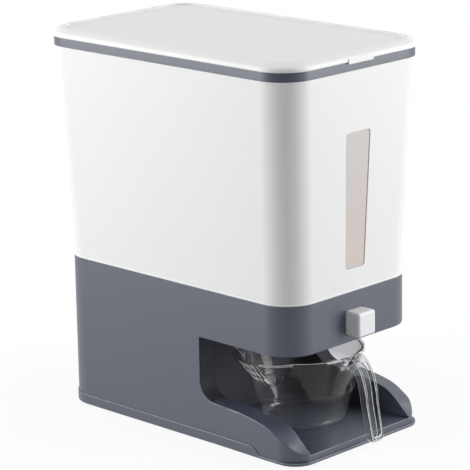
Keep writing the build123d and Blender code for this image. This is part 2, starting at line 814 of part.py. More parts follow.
# ---------------------------------------------------------------- hopper floor and gate
def funnel(throat_grow):
    """Solid of the rice space above the throat. Its sides reach into the bin's wall."""
    front_y = -bin_half_y(hopper_front_z) + bin_wall
    rear_y = bin_half_y(hopper_rear_z) - bin_wall
    front_x = bin_half_x(hopper_front_z) - bin_wall
    rear_x = bin_half_x(hopper_rear_z) - bin_wall
    tx = throat_x_size / 2 + throat_grow
    ty = throat_y_size / 2 + throat_grow
    top = Wire(Polyline([
        (-front_x, front_y, hopper_front_z), (front_x, front_y, hopper_front_z),
        (rear_x, rear_y, hopper_rear_z), (-rear_x, rear_y, hopper_rear_z),
        (-front_x, front_y, hopper_front_z),
    ]).edges())
    low = Wire(Polyline([
        (-tx, throat_y - ty, throat_top_z), (tx, throat_y - ty, throat_top_z),
        (tx, throat_y + ty, throat_top_z), (-tx, throat_y + ty, throat_top_z),
        (-tx, throat_y - ty, throat_top_z),
    ]).edges())
    return Solid.make_loft([low, top], ruled=True)


def make_hopper_floor():
    shell = Pos(0, 0, -hopper_wall) * funnel(hopper_wall) - funnel(0)
    shell += throat_block(throat_bottom_z, throat_top_z, hopper_wall)
    shell -= throat_block(throat_bottom_z, throat_top_z + cut_past)
    # trim to the bin's inside and the skirt
    room = bin_form(bin_wall + seat_gap, seam_z + bin_wall + seat_gap, collar_z)
    lower_in = base_wall + bin_wall + seat_gap
    room += slab(
        floor_half_x - lower_in, floor_half_y - lower_in, corner_radius - lower_in,
        throat_bottom_z, seam_z + bin_wall + seat_gap,
    )
    return shell & room


def make_throat_seal():
    ring = throat_block(cover_top_z, throat_bottom_z, hopper_wall)
    return ring - throat_block(cover_top_z, throat_bottom_z)


def carrier_screw_points():
    x = cover_half_x + carrier_flank / 2
    rows = (carrier_front_y + carrier_screw_in, carrier_rear_y - carrier_screw_in)
    return [(sx * x, y) for sx in (-1, 1) for y in rows]


def cover_screw_points():
    x = rail_out_x + cover_flank / 2
    rows = (throat_front_y + cover_screw_in, cover_rear_y - cover_screw_in)
    return [(sx * x, y) for sx in (-1, 1) for y in rows]


def make_gate_carrier():
    plate = block(
        -carrier_half_x, carrier_half_x, carrier_front_y, carrier_rear_y, deck_top_z, carrier_top_z,
    )
    rail_front_y = shutter_front_y + rail_setback
    rail = block(rail_in_x, rail_out_x, rail_front_y, carrier_rear_y, carrier_top_z, cover_z)
    rail += block(rail_out_x, cover_half_x, throat_front_y, cover_rear_y, carrier_top_z, cover_z)
    for piece in mirrored(rail):
        plate += piece
    # bracket that holds the spring's guide pin
    bracket_y = carrier_rear_y - bracket_thick
    plate += block(-bracket_half_x, bracket_half_x, bracket_y, carrier_rear_y, carrier_top_z, spring_top_z)
    plate -= rod_y(0, spring_z, bracket_y, carrier_rear_y, spring_pin_radius + thread_gap)
    plate -= throat_block(deck_top_z, carrier_top_z)
    for x, y in carrier_screw_points():
        plate -= rod_z(x, y, deck_top_z, carrier_top_z, screw_radius + seat_gap)
    for x, y in cover_screw_points():
        plate -= rod_z(x, y, deck_top_z + hole_floor, cover_z, screw_radius + thread_gap)
    for x, y in bearing_screw_points():
        plate -= rod_z(x, y, deck_top_z + hole_floor, carrier_top_z, screw_radius + thread_gap)
    return plate


def make_carrier_screws():
    return pan_screws(carrier_screw_points(), carrier_top_z, band_bottom_z + hole_floor + tip_gap)


def make_gate_cover():
    front_y = throat_front_y - cover_front_border
    plate = block(-cover_half_x, cover_half_x, front_y, cover_rear_y, cover_z, cover_top_z)
    plate -= throat_block(cover_z, cover_top_z)
    for x, y in cover_screw_points():
        plate -= rod_z(x, y, cover_z, cover_top_z, screw_radius + seat_gap)
    return plate


def make_cover_screws():
    return pan_screws(cover_screw_points(), cover_top_z, deck_top_z + hole_floor + tip_gap)


def make_shutter():
    plate = block(
        -shutter_half_x, shutter_half_x, shutter_front_y, shutter_rear_y, shutter_z, shutter_top_z,
    )
    # the port stops short of the throat at rest, by the lap
    port = throat_block(shutter_z, shutter_top_z, y=port_y)
    lap_y = port_y + throat_y_size / 2 - port_lap
    plate -= port - block(-shutter_half_x, shutter_half_x, lap_y, throat_y, shutter_z, shutter_top_z)
    front_y = shutter_front_y + upstand_thick
    front = block(-upstand_half_x, upstand_half_x, shutter_front_y, front_y, shutter_top_z, upstand_top_z)
    front -= rod_y(0, button_centre_z, shutter_front_y, front_y, rod_screw_radius + thread_gap)
    rear_y = shutter_rear_y - spring_upstand_thick
    rear = block(
        -spring_upstand_half_x, spring_upstand_half_x, rear_y, shutter_rear_y, shutter_top_z, spring_top_z,
    )
    rear -= rod_y(0, spring_z, rear_y, shutter_rear_y, spring_pin_radius + moving_gap)
    return plate + front + rear


def make_push_rod():
    rod = rod_y(0, button_centre_z, cap_back_y - socket_depth, shutter_front_y, rod_radius)
    hole_y = shutter_front_y - rod_screw_bite - bottom_screw_room
    return rod - rod_y(0, button_centre_z, hole_y, shutter_front_y, rod_screw_radius + thread_gap)


def make_rod_screw():
    seat_y = shutter_front_y + upstand_thick
    head = rod_y(0, button_centre_z, seat_y, seat_y + screw_head_height, screw_head_radius)
    return head + rod_y(0, button_centre_z, shutter_front_y - rod_screw_bite, seat_y, rod_screw_radius)


def make_button_cap():
    half_x = button_x_size / 2
    half_z = button_z_size / 2
    z0 = button_centre_z - half_z
    z1 = button_centre_z + half_z
    cap = block(-half_x, half_x, button_front_y, cap_stop_y, z0, z1)
    cap = fillet(cap.faces().sort_by(Axis.Y)[0].edges() + cap.edges().filter_by(Axis.Y), button_round)
    cap += block(
        -half_x - button_flange, half_x + button_flange, cap_stop_y, cap_back_y,
        z0 - button_flange, z1 + button_flange,
    )
    cap -= block(
        -half_x + button_wall, half_x - button_wall, button_front_y + button_wall, cap_back_y,
        z0 + button_wall, z1 - button_wall,
    )
    # socket for the rod
    socket = rod_y(0, button_centre_z, button_front_y + button_wall, cap_back_y, rod_radius + button_wall)
    socket -= rod_y(0, button_centre_z, cap_back_y - socket_depth, cap_back_y, rod_radius + thread_gap)
    return cap + socket


def bearing_screw_points():
    reach = bearing_half_x + bearing_foot / 2
    return [(-reach, bearing_y), (reach, bearing_y)]


def make_rod_bearing():
    y0 = bearing_y - bearing_thick / 2
    y1 = bearing_y + bearing_thick / 2
    foot_reach = bearing_half_x + bearing_foot
    foot_top_z = carrier_top_z + bearing_foot_thick
    top_z = button_centre_z + rod_radius + bearing_wall
    bearing = block(-bearing_half_x, bearing_half_x, y0, y1, carrier_top_z, top_z)
    bearing += block(-foot_reach, foot_reach, y0, y1, carrier_top_z, foot_top_z)
    bearing -= rod_y(0, button_centre_z, y0, y1, rod_radius + running_gap)
    for x, y in bearing_screw_points():
        bearing -= rod_z(x, y, carrier_top_z, foot_top_z, screw_radius + seat_gap)
    return bearing


def make_bearing_screws():
    seat_z = carrier_top_z + bearing_foot_thick
    return pan_screws(bearing_screw_points(), seat_z, deck_top_z + hole_floor + tip_gap)


def make_return_spring():
    start_y = shutter_rear_y + spring_wire
    end_y = carrier_rear_y - bracket_thick - spring_wire
    length = end_y - start_y
    helix = Helix(pitch=length / spring_turns, height=length, radius=spring_radius)
    path = Pos(0, start_y, spring_z) * Rot(-90, 0, 0) * helix
    section = Plane(origin=path @ 0, z_dir=path % 0) * Circle(spring_wire)
    return sweep(section, path=path)


def make_spring_pin():
    return rod_y(0, spring_z, spring_pin_front_y, carrier_rear_y, spring_pin_radius)


def chute_screw_points():
    x = chute_half_x - chute_screw_in
    return [(-x, throat_y), (x, throat_y)]


def chute_form(low_z, grow):
    """Tapered block from the deck down to low_z: the nozzle's outside, or its passage with grow 0."""
    narrowing = chute_wall
    half_x = throat_x_size / 2 + grow
    half_y = throat_y_size / 2 + grow
    top = Pos(0, throat_y, deck_top_z) * Rectangle(2 * half_x, 2 * half_y)
    low = Pos(0, throat_y, low_z) * Rectangle(2 * half_x - 2 * narrowing, 2 * half_y - narrowing)
    return loft([low, top])


def make_outlet_chute():
    body = block(
        -chute_half_x, chute_half_x, throat_y - chute_half_y, throat_y + chute_half_y,
        chute_flange_z, band_bottom_z,
    )
    body = fillet(body.edges().filter_by(Axis.Z), chute_corner)
    body += chute_form(chute_bottom_z, chute_wall)
    body -= chute_form(chute_bottom_z, 0)
    for x, y in chute_screw_points():
        body -= rod_z(x, y, chute_flange_z, band_bottom_z, screw_radius + seat_gap)
    return body


def make_chute_screws():
    return pan_screws(chute_screw_points(), chute_flange_z, deck_top_z - hole_floor - tip_gap)


# ---------------------------------------------------------------- measuring cup
def cup_profile(inset):
    """Half section of the cup's outside, or of its inside when inset is the wall."""
    bottom_z = cup_bottom_z + inset
    foot = cup_foot_radius - inset
    rounding = cup_bottom_round - inset / 2
    drop = rounding * (1 - math.cos(math.radians(45)))
    step_z = cup_step_z + inset / 2
    step_top_z = step_z + cup_step_height
    rim = cup_rim_radius - inset
    low_step = cup_step_radius - inset
    lines = Wire([
        Line((0, 0, bottom_z), (foot - rounding, 0, bottom_z)),
        ThreePointArc(
            (foot - rounding, 0, bottom_z), (foot - drop, 0, bottom_z + drop),
            (foot, 0, bottom_z + rounding),
        ),
        Line((foot, 0, bottom_z + rounding), (low_step, 0, step_z)),
        Line((low_step, 0, step_z), (low_step + cup_step, 0, step_top_z)),
        Line((low_step + cup_step, 0, step_top_z), (rim, 0, cup_rim_z)),
        Line((rim, 0, cup_rim_z), (0, 0, cup_rim_z)),
        Line((0, 0, cup_rim_z), (0, 0, bottom_z)),
    ])
    return make_face(lines)


def cup_form(inset):
    return Pos(0, cup_y, 0) * revolve(cup_profile(inset), Axis.Z)


def spout_circle(reach, radius, z):
    angle = math.radians(spout_angle)
    return Pos(reach * math.cos(angle), cup_y + reach * math.sin(angle), z) * Circle(radius)


def spout_form(inset, high_z):
    low = spout_circle(spout_low_reach, spout_low_radius - inset, spout_low_z + inset)
    high = spout_circle(spout_reach, spout_radius - inset, high_z)
    return loft([low, high])


def strainer_slots():
    """Slanted slots through the spout's wall, in rows round its outer side."""
    slots = []
    for row in range(slot_rows):
        z = spout_low_z + slot_first_rise + row * slot_pitch_z
        share = (z - spout_low_z) / (cup_rim_z - spout_low_z)
        reach = spout_low_reach + share * (spout_reach - spout_low_reach)
        radius = spout_low_radius + share * (spout_radius - spout_low_radius)
        for column in range(slot_columns):
            turn = spout_angle + (column - (slot_columns - 1) / 2) * slot_pitch_angle
            angle = math.radians(spout_angle)
            centre = (reach * math.cos(angle), cup_y + reach * math.sin(angle), z)
            slot = Pos(radius, 0, 0) * Rot(slot_lean, 0, 0) * Box(slot_cut, slot_width, slot_length)
            slots.append(Pos(*centre) * Rot(0, 0, turn) * slot)
    return slots


# side view of the handle, as shares of its reach outwards and of its drop below the rim
handle_outside = ((0.11, -0.034), (0.27, -0.045), (0.51, 0.034), (0.69, 0.19), (0.81, 0.43), (0.985, 0.915))
handle_tip = (0.92, 1.0)
handle_inside = ((0.80, 0.93), (0.61, 0.48), (0.49, 0.22), (0.32, 0.105), (0.12, 0.076))
channel_outside = ((0.54, -0.045), (0.76, 0.14), (0.90, 0.43), (1.08, 0.925))
channel_inside = ((0.875, 0.92), (0.69, 0.455), (0.565, 0.19), (0.38, 0.066))


def handle_point(share_out, share_drop):
    return (0, cup_y - cup_rim_radius - share_out * handle_out, cup_rim_z - share_drop * handle_drop)


def tip_corners(half_x, low_z, radius):
    """What a rounding of this radius takes off the two lower corners, seen from the front."""
    centre = Pos(half_x - radius, cup_y - cup_rim_radius - handle_out / 2, low_z + radius)
    align = (Align.MIN, Align.CENTER, Align.MAX)
    corner = Box(2 * radius, 3 * handle_out, 2 * radius, align=align)
    corner -= Rot(90, 0, 0) * Cylinder(radius, 4 * handle_out)
    return mirrored(centre * corner)


def handle_form():
    """Hooked strap: leaves the rim, arches over and runs down and outwards."""
    root_y = cup_y - cup_rim_radius + handle_root_in
    root_top = (0, root_y, cup_rim_z)
    root_low = (0, root_y, cup_rim_z - handle_root_height)
    outside = [handle_point(*shares) for shares in handle_outside]
    inside = [handle_point(*shares) for shares in handle_inside]
    outline = Wire([
        Line(root_low, root_top),
        Spline(root_top, *outside, tangents=((0, -1, 0.3), (0, -0.2, -1))),
        ThreePointArc(outside[-1], handle_point(*handle_tip), inside[0]),
        Spline(*inside, root_low, tangents=((0, 0.15, 1), (0, 1, -0.5))),
    ])
    strap = extrude(make_face(outline), handle_top_half_x, both=True)
    # narrow towards the lower end
    taper = math.degrees(math.atan((handle_top_half_x - handle_low_half_x) / handle_drop))
    align = (Align.MIN, Align.CENTER, Align.CENTER)
    wedge = Rot(0, taper, 0) * Box(handle_out, 3 * handle_out, 3 * handle_drop, align=align)
    wedge = Pos(handle_top_half_x, root_y - handle_out, cup_rim_z) * wedge
    for side in mirrored(wedge):
        strap -= side
    # round the lower corners
    radius = min(handle_tip_radius, 0.9 * handle_low_half_x)
    half_x = handle_low_half_x + radius * (handle_top_half_x - handle_low_half_x) / handle_drop
    for corner in tip_corners(half_x, cup_rim_z - handle_drop, radius):
        strap -= corner
    return strap


def handle_channel_form():
    """What makes the strap a channel that is open to the front."""
    outside = [handle_point(*shares) for shares in channel_outside]
    inside = [handle_point(*shares) for shares in channel_inside]
    outline = Wire([
        Spline(*outside, tangents=((0, -0.8, -0.6), (0, -0.2, -1))),
        Line(outside[-1], inside[0]),
        Spline(*inside, tangents=((0, 0.15, 1), (0, 0.85, 0.5))),
        Line(inside[-1], outside[0]),
    ])
    half_x = handle_low_half_x - handle_rib
    channel = extrude(make_face(outline), half_x, both=True)
    for corner in tip_corners(half_x, outside[-1][2], min(handle_tip_radius - handle_rib, 0.9 * half_x)):
        channel -= corner
    return channel


def make_measuring_cup():
    lip_low_z = cup_rim_z - cup_lip_height
    outer = cup_form(0) + spout_form(0, cup_rim_z)
    lip = Pos(0, cup_y, lip_low_z) * extrude(Circle(cup_rim_radius + cup_lip), cup_lip_height)
    lip += extrude(spout_circle(spout_reach, spout_radius + cup_lip, lip_low_z), cup_lip_height)
    inner = cup_form(cup_wall) + spout_form(cup_wall, cup_rim_z)
    strap = handle_form() - handle_channel_form()
    strap -= cup_form(cup_wall)
    cup = outer + lip + strap - inner
    for slot in strainer_slots():
        cup -= slot
    return cup


# ---------------------------------------------------------------- assembly
def build():
    parts = {
        "lid_shell": make_lid_shell(),
        "lid_liner": make_lid_liner(),
        "lid_seal": make_lid_seal(),
        "hinge_pins": make_hinge_pins(),
        "mouth_collar": make_mouth_collar(),
        "bin_shell": make_bin_shell(),
        "window_pane": make_window_pane(),
        "window_gasket": make_window_gasket(),
        "hopper_floor": make_hopper_floor(),
        "throat_seal": make_throat_seal(),
        "base_housing": make_base_housing(),
        "bottom_cover": make_bottom_cover(),
        "rubber_feet": make_rubber_feet(),
        "bottom_screws": make_bottom_screws(),
        "gate_carrier": make_gate_carrier(),
        "gate_cover": make_gate_cover(),
        "shutter": make_shutter(),
        "push_rod": make_push_rod(),
        "rod_screw": make_rod_screw(),
        "button_cap": make_button_cap(),
        "rod_bearing": make_rod_bearing(),
        "return_spring": make_return_spring(),
        "spring_pin": make_spring_pin(),
        "outlet_chute": make_outlet_chute(),
        "measuring_cup": make_measuring_cup(),
        "carrier_screws": make_carrier_screws(),
        "cover_screws": make_cover_screws(),
        "bearing_screws": make_bearing_screws(),
        "chute_screws": make_chute_screws(),
    }
    return parts


def main():
    shapes = {}
    for name, shape in build().items():
        shapes[name] = Compound(shape) if isinstance(shape, list) else shape
    boxes = [shape.bounding_box() for shape in shapes.values()]
    front_y = min(box.min.Y for box in boxes)
    rear_y = max(box.max.Y for box in boxes)
    middle_y = (front_y + rear_y) / 2
    os.makedirs("parts", exist_ok=True)
    for name, shape in shapes.items():
        export_step(shape.moved(Location((0, -middle_y, 0))), f"parts/{name}.step")
    print("moved along Y by", round(-middle_y, 4), "depth", round(rear_y - front_y, 2))


main()
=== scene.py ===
# %% [markdown]
# A rice dispenser for a kitchen worktop: a white bin on a blue-grey base, a push button that opens a gate,
# and a clear measuring cup that slides out of a bay under the bin.
# The solids come from the frame, at their real size. This lesson gives them their finish: edges that are
# softened as a mould softens them, plastics with grain, a frosted window, and clear plastic for the cup.

# %% Load the frame
import json
import math

import bmesh
import bpy
from mathutils import Matrix, Vector
from mathutils.bvhtree import BVHTree


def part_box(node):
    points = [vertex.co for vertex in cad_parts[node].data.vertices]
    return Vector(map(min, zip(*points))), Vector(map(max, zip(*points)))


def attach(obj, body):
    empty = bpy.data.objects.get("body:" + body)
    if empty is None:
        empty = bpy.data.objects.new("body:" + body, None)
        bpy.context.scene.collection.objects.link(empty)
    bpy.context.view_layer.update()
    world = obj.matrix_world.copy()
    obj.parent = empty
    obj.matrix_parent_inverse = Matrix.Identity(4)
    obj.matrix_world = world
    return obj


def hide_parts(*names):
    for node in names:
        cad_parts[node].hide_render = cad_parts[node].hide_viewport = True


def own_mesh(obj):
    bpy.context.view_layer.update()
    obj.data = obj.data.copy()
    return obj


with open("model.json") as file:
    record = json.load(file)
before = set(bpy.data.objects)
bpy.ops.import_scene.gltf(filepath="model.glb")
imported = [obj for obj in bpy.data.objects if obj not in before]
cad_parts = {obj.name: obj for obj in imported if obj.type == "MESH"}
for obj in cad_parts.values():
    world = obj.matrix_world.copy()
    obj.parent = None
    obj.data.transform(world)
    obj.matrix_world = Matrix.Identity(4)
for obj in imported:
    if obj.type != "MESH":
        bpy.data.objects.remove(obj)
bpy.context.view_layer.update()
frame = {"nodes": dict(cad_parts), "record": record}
nodes = frame["nodes"]

# %% [markdown]
# Lengths below are metres. The helper mm() lets a small size be written as it would be on a drawing.
# The bin is symmetric front to back, so its middle is the line from which the camera was measured.

# %% Units and the bin's middle
def mm(value):
    return value / 1000.0


bin_low, bin_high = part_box("bin_shell")
bin_middle_y = (bin_low.y + bin_high.y) / 2
print("bin middle y", round(bin_middle_y, 5))

# %% [markdown]
# The camera. A long lens from well above the worktop keeps the upright edges almost parallel. The heading
# is measured from the object's back towards its right side, and the slight roll is the photograph's own.

# %% Camera
camera_place = Vector((-1.67737, bin_middle_y - 1.64390, 0.80449))
camera_heading = math.radians(45.58)
camera_pitch = math.radians(14.92)
camera_roll = math.radians(-1.03)
camera_lens = 191.56
sensor_width = 36.0
sight_range = 30.0


def camera_turn(heading, pitch, roll):
    """Rotation of a camera that looks along a heading and down by a pitch, then rolls about its view."""
    ahead = Vector((
        math.cos(pitch) * math.sin(heading), math.cos(pitch) * math.cos(heading), -math.sin(pitch),
    ))
    level_right = Vector((math.cos(heading), -math.sin(heading), 0.0))
    level_up = level_right.cross(ahead)
    right = math.cos(roll) * level_right + math.sin(roll) * level_up
    up = math.cos(roll) * level_up - math.sin(roll) * level_right
    return Matrix((right, up, -ahead)).transposed()


def make_camera():
    data = bpy.data.cameras.new("camera")
    data.sensor_fit = "HORIZONTAL"
    data.sensor_width = sensor_width
    data.lens = camera_lens
    data.clip_end = sight_range
    camera = bpy.data.objects.new("camera", data)
    camera.matrix_world = (
        Matrix.Translation(camera_place) @ camera_turn(camera_heading, camera_pitch, camera_roll).to_4x4()
    )
    bpy.context.scene.collection.objects.link(camera)
    bpy.context.scene.camera = camera


make_camera()
bpy.context.scene.view_settings.view_transform = "Standard"
print("camera", round((camera_place - Vector((0.0, bin_middle_y, 0.0))).length, 2), "m from the bin's foot")

# %% [markdown]
# A material is a graph of nodes. Python can write that graph as sums: a Wire stands for one output, and
# adding, multiplying or subtracting two of them places the Math node that does it.

# %% Node sums
class Wire:
    """One output socket of a node. Sums with it add Math nodes to the same graph."""

    def __init__(self, graph, socket):
        self.graph = graph
        self.socket = socket

    def maths(self, operation, *values, clamp=False):
        return self.graph.add("ShaderNodeMath", {"operation": operation, "use_clamp": clamp}, *values)

    def __add__(self, other):
        return self.maths("ADD", self, other)

    def __radd__(self, other):
        return self.maths("ADD", other, self)

    def __sub__(self, other):
        return self.maths("SUBTRACT", self, other)

    def __rsub__(self, other):
        return self.maths("SUBTRACT", other, self)

    def __mul__(self, other):
        return self.maths("MULTIPLY", self, other)

    def __rmul__(self, other):
        return self.maths("MULTIPLY", other, self)

    def __truediv__(self, other):
        return self.maths("DIVIDE", self, other)

    def __pow__(self, other):
        return self.maths("POWER", self, other)

    def clamped(self):
        return self.maths("ADD", self, 0.0, clamp=True)

    def share(self, low, high):
        """0 at low, 1 at high, and clamped between."""
        return ((self - low) / (high - low)).clamped()


print("sums", "+ - * / **")

# %% [markdown]
# Graph.add places any other node, from its type, its settings and what feeds its inputs. The methods after
# it are short names for the nodes that the finishes use most.

# %% A tree of nodes
class Graph:
    """A node tree with one way to add nodes."""

    def __init__(self, tree):
        self.tree = tree
        tree.nodes.clear()

    def feed(self, socket, value):
        if isinstance(value, Wire):
            self.tree.links.new(value.socket, socket)
        else:
            socket.default_value = value

    def add(self, kind, settings=None, *values, out=0, **named):
        node = self.tree.nodes.new(kind)
        for key, value in (settings or {}).items():
            setattr(node, key, value)
        for index, value in enumerate(values):
            self.feed(node.inputs[index], value)
        for name, value in named.items():
            self.feed(node.inputs[name.replace("_", " ")], value)
        return Wire(self, node.outputs[out]) if node.outputs else None

    def mix(self, share, first, second):
        """Colour between first and second."""
        colour_a, colour_b, colour_out = 6, 7, 2
        wire = self.add("ShaderNodeMix", {"data_type": "RGBA"}, share, out=colour_out)
        node = wire.socket.node
        self.feed(node.inputs[colour_a], first)
        self.feed(node.inputs[colour_b], second)
        return wire

    def mix_shader(self, share, first, second):
        return self.add("ShaderNodeMixShader", None, share, first, second)

    def noise(self, where, scale, detail=2.0):
        return self.add("ShaderNodeTexNoise", None, Vector=where, Scale=scale, Detail=detail)

    def place(self):
        """The point's place on the object, in metres."""
        return self.add("ShaderNodeTexCoord", None, out="Object")

    def axes(self, where):
        node = self.add("ShaderNodeSeparateXYZ", None, where).socket.node
        return [Wire(self, socket) for socket in node.outputs]

    def bump(self, height, distance, strength):
        return self.add("ShaderNodeBump", None, Strength=strength, Distance=distance, Height=height)

    def rays(self, *kinds):
        """1 for rays of any of these kinds, and 0 for all others."""
        outputs = self.add("ShaderNodeLightPath").socket.node.outputs
        total, *more = [Wire(self, outputs[f"Is {kind} Ray"]) for kind in kinds]
        for wire in more:
            total = total + wire
        return total.clamped() if more else total


print("short names", "mix mix_shader noise place axes bump rays")

# %% [markdown]
# Each material starts as an empty graph. The opaque ones all end the same way, in a Principled shader that
# goes to the output. Two helpers write colours.

# %% From graph to material
def new_material(name):
    material = bpy.data.materials.new(name)
    material.use_nodes = True
    return material, Graph(material.node_tree)


def finish_material(graph, **sockets):
    """Principled shader with these inputs, sent to the output."""
    shader = graph.add("ShaderNodeBsdfPrincipled", None, **sockets)
    graph.add("ShaderNodeOutputMaterial", None, shader)


def grey(value):
    return (value, value, value, 1.0)


def shaded(colour, factor):
    """The colour made lighter or darker, with an alpha of 1."""
    return [min(channel * factor, 1.0) for channel in colour] + [1.0]


print("mid grey", grey(0.5))

# %% [markdown]
# Moulded plastic. The steel of the mould is spark eroded, which prints a fine grain on every face. The
# melt also cools unevenly, which leaves very faint clouds in the colour and the gloss, and walls that are
# flat to a few hundredths of a millimetre only. One function makes all the opaque plastics.
# The base's colour is made darker in its own hollows, as painted shade. An Ambient Occlusion node that looks
# at the piece alone tells how open each spot is.

# %% Moulded plastic
cloud_scale = 14.0           # bumps per metre, as for the scales below
speckle_scale = 900.0
grain_scale = 1400.0
ripple_scale = 9.0
ripple_depth = 3.0           # of the slow ripple, against the grain's 1
cloud_in_colour = 0.06
speckle_in_colour = 0.015
cloud_in_gloss = 0.05
speckle_in_gloss = 0.04
darker_pigment, lighter_pigment = 0.9, 1.1
grain_strength = 0.35
hollow_reach = mm(110)
deepest_openness = 0.15      # of a hollow where the colour is deepest
full_openness = 0.7          # from here on the colour is the plastic's own


def moulded_plastic(name, colour, roughness, grain=mm(0.012), ior=1.46, painted_hollow_shade=0.0):
    """Plastic with a grain. The last argument is the share of its colour that painted shade takes away in its
    deepest hollows.
    """
    material, graph = new_material(name)
    where = graph.place()
    cloud = graph.noise(where, cloud_scale, 3.0) - 0.5
    speckle = graph.noise(where, speckle_scale, 1.0) - 0.5
    tone = (cloud * cloud_in_colour + speckle * speckle_in_colour + 0.5).clamped()
    pigment = graph.mix(tone, shaded(colour, darker_pigment), shaded(colour, lighter_pigment))
    # Painted shade: the colour darkens where the Ambient Occlusion node finds the piece closed in.
    if painted_hollow_shade:
        openness = graph.add(
            "ShaderNodeAmbientOcclusion", {"only_local": True, "samples": 8}, out="AO", Distance=hollow_reach,
        )
        in_the_open = openness.share(deepest_openness, full_openness)
        pigment = graph.mix(in_the_open, shaded(colour, 1.0 - painted_hollow_shade), pigment)
    height = graph.noise(where, grain_scale, 2.0) + graph.noise(where, ripple_scale, 1.0) * ripple_depth
    finish_material(
        graph,
        Base_Color=pigment,
        Roughness=(roughness + cloud * cloud_in_gloss + speckle * speckle_in_gloss).clamped(),
        IOR=ior,
        Normal=graph.bump(height, grain, grain_strength),
    )
    return material


white_plastic = moulded_plastic("white_plastic", (0.80, 0.80, 0.80), 0.42)
# The blue-grey plastic gets painted shade in its hollows.
blue_grey_plastic = moulded_plastic(
    "blue_grey_plastic", (0.052, 0.062, 0.092), 0.40, grain=mm(0.02), ior=1.7, painted_hollow_shade=0.4,
)
button_plastic = moulded_plastic("button_plastic", (0.78, 0.78, 0.80), 0.38)
inner_plastic = moulded_plastic("inner_plastic", (0.66, 0.66, 0.65), 0.5)
dark_plastic = moulded_plastic("dark_plastic", (0.05, 0.055, 0.07), 0.5)
print("plastics", white_plastic.name, blue_grey_plastic.name, button_plastic.name)

# %% [markdown]
# The strips that the rounding below makes get these glossier and paler versions of the plastics. The gloss
# stands for edges that handling has rubbed smooth. The paler colour is a painted highlight, a thin line of
# light along each edge. The wall at the back of the base's bay is coarse from the mould, and its darker
# colour is painted shade.

# %% Painted edge highlights and the bay's painted shade
# Painted highlight: the edge versions are paler than the plastics they go with.
white_edge_highlight = moulded_plastic("white_edge_highlight", (0.93, 0.93, 0.93), 0.30)
blue_grey_edge_highlight = moulded_plastic("blue_grey_edge_highlight", (0.17, 0.19, 0.235), 0.30, ior=1.6)
# Painted shade: the bay's wall is a darker copy of the blue-grey plastic.
blue_grey_bay_shade = moulded_plastic(
    "blue_grey_bay_shade", (0.036, 0.036, 0.047), 0.62, grain=mm(0.03), ior=1.35,
)
print("edges", white_edge_highlight.name, blue_grey_edge_highlight.name, "bay", blue_grey_bay_shade.name)

# %% [markdown]
# Rubber and seals are matt and a little dusty. Steel pins and screws are plated, so they are metallic. A
# noise that is drawn out along X gives them the fine scratches of drawn wire.

# %% Rubber, seals and steel
dust_scale = 220.0
dust_in_colour = 0.04
rubber_skin_scale = 1800.0
scratch_scales = (60.0, 2400.0, 2400.0)


def soft_rubber(name, colour):
    material, graph = new_material(name)
    where = graph.place()
    dust = graph.noise(where, dust_scale, 4.0)
    dusty = [channel + dust_in_colour for channel in colour] + [1.0]
    finish_material(
        graph,
        Base_Color=graph.mix(dust, [*colour, 1.0], dusty),
        Roughness=0.75 + dust * 0.15,
        Normal=graph.bump(graph.noise(where, rubber_skin_scale), mm(0.02), 0.4),
    )
    return material


def plated_steel(name):
    material, graph = new_material(name)
    where = graph.place()
    drawn_out = graph.add("ShaderNodeMapping", None, where, Scale=scratch_scales)
    scratches = graph.noise(drawn_out, 1.0)
    finish_material(
        graph,
        Base_Color=graph.mix(scratches, grey(0.48), grey(0.66)),
        Metallic=1.0,
        Roughness=0.22 + scratches * 0.16,
        Normal=graph.bump(scratches, mm(0.005), 0.3),
    )
    return material


rubber = soft_rubber("rubber", (0.03, 0.03, 0.034))
soft_seal = soft_rubber("soft_seal", (0.68, 0.68, 0.67))
steel = plated_steel("steel")
print("rubber, seal and steel")

# %% [markdown]
# The level window is a frosted pane: rough on its inside, so what lies behind shows only as a tone. It is
# made as one: warm at the foot and the right edge, and cooler towards the top and the left edge.

# %% Frosted pane
pane_low, pane_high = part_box("window_pane")
cool_tone = (0.56, 0.55, 0.55, 1.0)
warm_tone = (0.60, 0.52, 0.47, 1.0)
mottle_scale = 60.0
frost_scale = 1500.0


def frosted_pane():
    material, graph = new_material("frosted_pane")
    where = graph.place()
    x, _, z = graph.axes(where)
    height = z.share(pane_low.z, pane_high.z)
    across = x.share(pane_low.x, pane_high.x)
    mottle = graph.noise(where, mottle_scale, 4.0)
    warm = ((1 - height) * 0.5 + across * 0.5 + (mottle - 0.5) * 0.25).clamped()
    finish_material(
        graph,
        Base_Color=graph.mix(warm, cool_tone, warm_tone),
        Roughness=0.34 + mottle * 0.12,
        IOR=1.49,
        Normal=graph.bump(graph.noise(where, frost_scale), mm(0.01), 0.3),
    )
    return material


frosted = frosted_pane()
print("frosted pane from z", round(pane_low.z, 3), "to", round(pane_high.z, 3))

# %% [markdown]
# The cup is clear styrene plastic. Light goes through its wall and bends at each face, so the wall shows
# mainly as bright and dark lines where it turns away from the eye. The real bend would be stronger: a small
# one keeps what lies behind the cup readable. Towards the mouth the wall gets a grey tint, as painted shade,
# because the photographed cup is darker there, and a trace of haze keeps it from looking like cut glass.
# A renderer's shadow under glass is black, although a clear cup hardly casts one, so the rays that go to
# the lamps are let through.

# %% The cup's clear wall
cup_rim_radius = mm(58.5)
cup_low, cup_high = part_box("measuring_cup")
cup_axis = Vector((0.0, cup_high.y - cup_rim_radius, 0.0))
mouth_shade_from_z = cup_high.z - mm(44)
mouth_shade_full_z = cup_high.z - mm(22)
wall_ior = 1.22              # styrene's own is about 1.59
haze_scale = 45.0
least_haze, more_haze = 0.006, 0.014
uneven_wall_scale = 24.0


def let_lamps_through(graph, surface):
    window = graph.add("ShaderNodeBsdfTransparent", None, Color=(0.94, 0.95, 0.95, 1.0))
    graph.add("ShaderNodeOutputMaterial", None, graph.mix_shader(graph.rays("Shadow"), surface, window))


